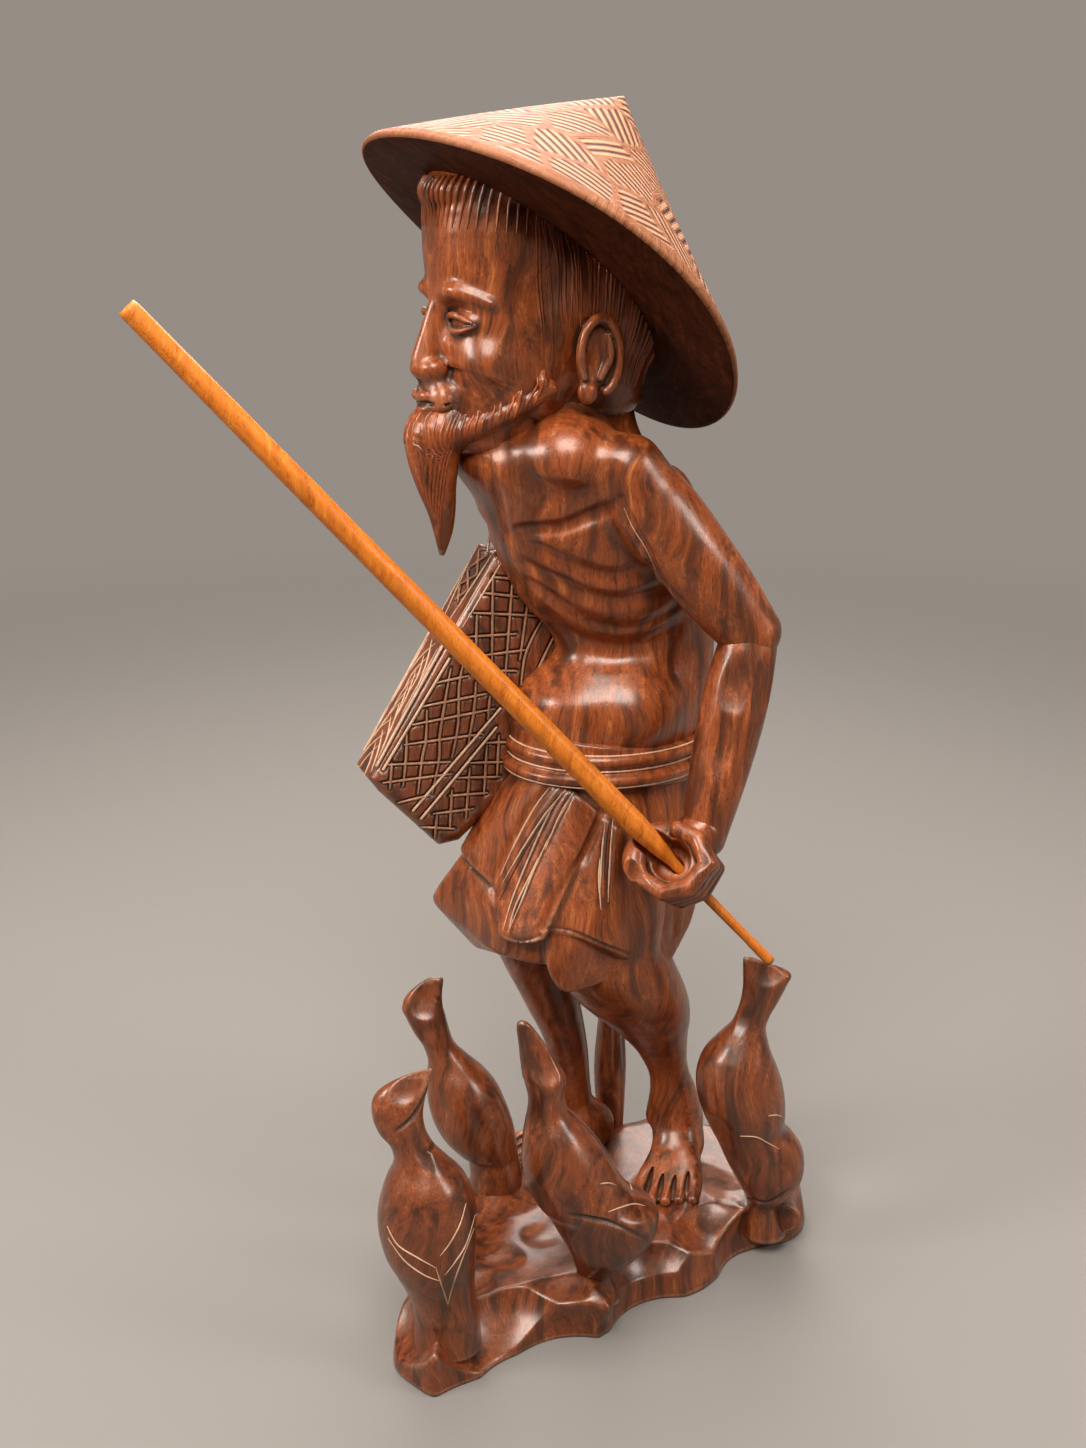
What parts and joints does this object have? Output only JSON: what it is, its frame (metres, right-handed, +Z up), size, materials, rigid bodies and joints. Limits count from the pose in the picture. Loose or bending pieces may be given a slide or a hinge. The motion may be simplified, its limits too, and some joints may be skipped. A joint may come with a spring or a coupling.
{
  "type": "carved figure group",
  "caption": "Carved wooden group: a bearded fisherman in a wide pointed hat with a creel and a loose pole, standing on an oval base among wading birds.",
  "frame": {"origin": "centre of the base's flat underside", "axes": "+Z up from base to hat; the man faces -Y and his left is +X"},
  "size_m": [0.1774, 0.2863, 0.4957],
  "materials": {
    "dark_rosewood": "waxed",
    "red_rosewood": "waxed",
    "worn_rosewood": "worn, waxed",
    "pale_wood": "satin"
  },
  "bodies": {
    "carving": {"base": "dark_rosewood", "hat": "worn_rosewood", "bird_front_left": "dark_rosewood", "bird_front_middle": "dark_rosewood", "bird_right": "dark_rosewood", "bird_back_left": "dark_rosewood", "left_hand": "red_rosewood", "left_ear": "red_rosewood", "right_ear": "red_rosewood", "beard": "red_rosewood", "head": "red_rosewood", "left_upper_arm": "red_rosewood", "right_upper_arm": "red_rosewood", "sash": "red_rosewood", "trunk": "red_rosewood", "loincloth": "red_rosewood", "left_forearm": "red_rosewood", "right_forearm": "red_rosewood", "creel": "dark_rosewood", "right_hand": "red_rosewood", "left_foot": "red_rosewood", "right_foot": "red_rosewood", "left_leg": "red_rosewood", "right_leg": "red_rosewood", "cloth_tail": "dark_rosewood"},
    "pole": {"pole": "pale_wood"}
  },
  "joints": [
    {"name": "pole_slide", "type": "slide", "parent": "carving", "child": "pole", "axis": [-0.2068, -0.6364, 0.7431], "range_m": [0, 0.04]}
  ]
}
